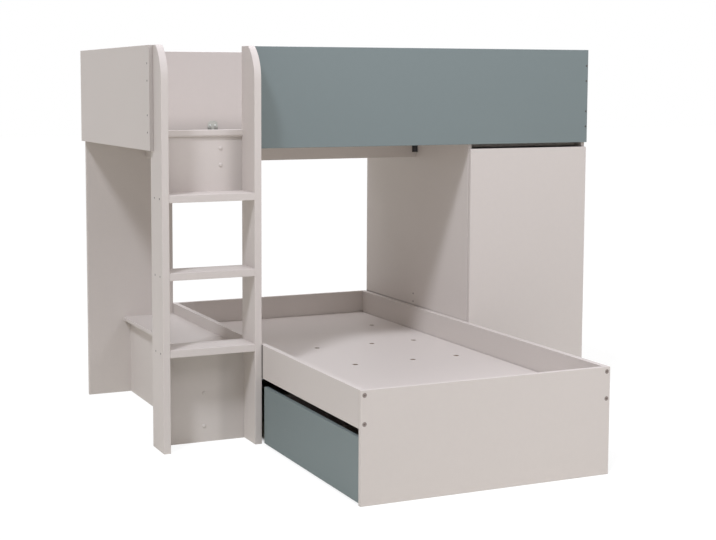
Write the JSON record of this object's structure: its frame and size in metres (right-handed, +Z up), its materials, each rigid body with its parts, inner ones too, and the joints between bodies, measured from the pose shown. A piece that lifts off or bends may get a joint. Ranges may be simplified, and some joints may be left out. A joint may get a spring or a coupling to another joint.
{
  "type": "l shaped bunk bed",
  "caption": "L-shaped bunk bed: a box bunk with a ladder over a crosswise lower bed with a rolling drawer, beside a tall wardrobe with a hinged door.",
  "frame": {"origin": "on the floor under the middle of the whole outline", "axes": "+X along the bunk towards the wardrobe, +Y from the lower bed's foot to the back, +Z up"},
  "size_m": [1.954, 1.944, 1.517],
  "materials": {
    "pale_board": "matte foil-faced board, warm pale greige",
    "sage_board": "matte foil-faced board, grey sage green",
    "steel": "bright zinc-plated steel",
    "dark_plastic": "matte black moulded plastic"
  },
  "bodies": {
    "frame": {"bunk_left_end": "pale_board", "bunk_right_end": "pale_board", "bunk_front_panel": "sage_board", "bunk_back_panel": "pale_board", "entry_sill": "pale_board", "entry_board": "pale_board", "bunk_cross_beam": "pale_board", "bunk_centre_beam": "pale_board", "bunk_front_batten": "pale_board", "bunk_back_batten": "pale_board", "bunk_base_left": "pale_board", "bunk_base_middle": "pale_board", "bunk_base_right": "pale_board", "wall_bracket": "steel", "ladder_left_upright": "pale_board", "ladder_right_upright": "pale_board", "ladder_step_low": "pale_board", "ladder_step_middle": "pale_board", "ladder_step_top": "pale_board", "kick_board": "pale_board", "rear_leg_panel": "pale_board", "ledge_top": "pale_board", "ledge_side": "pale_board", "foot_panel": "pale_board", "head_panel": "pale_board", "rail_left": "pale_board", "rail_right": "pale_board", "bed_base_head": "pale_board", "bed_base_middle": "pale_board", "bed_base_foot": "pale_board", "bed_left_batten": "pale_board", "bed_right_batten": "pale_board", "bed_centre_support": "pale_board", "wardrobe_left_side": "pale_board", "wardrobe_right_side": "pale_board", "wardrobe_top": "pale_board", "wardrobe_bottom": "pale_board", "wardrobe_back": "pale_board", "wardrobe_shelf": "pale_board", "wardrobe_brace": "pale_board", "wardrobe_plinth": "pale_board", "hanging_rail": "steel", "rail_sockets": "steel", "side_hinge_leaves": "steel", "flush_screws": "steel", "bed_bolts": "steel", "corner_fittings": "dark_plastic"},
    "drawer": {"drawer_front": "sage_board", "drawer_back": "pale_board", "drawer_side_near": "pale_board", "drawer_side_far": "pale_board", "drawer_bottom": "pale_board", "castor_forks": "dark_plastic", "castor_pins": "steel"},
    "door": {"wardrobe_door": "pale_board", "door_hinge_leaves": "steel"},
    "wheel_a": {"castor_wheel_a": "dark_plastic"},
    "wheel_b": {"castor_wheel_b": "dark_plastic"},
    "wheel_c": {"castor_wheel_c": "dark_plastic"},
    "wheel_d": {"castor_wheel_d": "dark_plastic"}
  },
  "joints": [
    {"name": "drawer_slide", "type": "slide", "parent": "frame", "child": "drawer", "axis": [-1, 0, 0], "range_m": [0, 0.45]},
    {"name": "door_hinge", "type": "hinge", "parent": "frame", "child": "door", "pos_m": [0.974, 0.017, 0.5875], "axis": [0, 0, 1], "range_deg": [0, 100]},
    {"name": "castor_a_spin", "type": "hinge", "parent": "drawer", "child": "wheel_a", "pos_m": [-0.507, -0.884, 0.02], "axis": [0, 1, 0], "continuous": true},
    {"name": "castor_b_spin", "type": "hinge", "parent": "drawer", "child": "wheel_b", "pos_m": [-0.507, -0.21, 0.02], "axis": [0, 1, 0], "continuous": true},
    {"name": "castor_c_spin", "type": "hinge", "parent": "drawer", "child": "wheel_c", "pos_m": [-0.144, -0.884, 0.02], "axis": [0, 1, 0], "continuous": true},
    {"name": "castor_d_spin", "type": "hinge", "parent": "drawer", "child": "wheel_d", "pos_m": [-0.144, -0.21, 0.02], "axis": [0, 1, 0], "continuous": true}
  ]
}
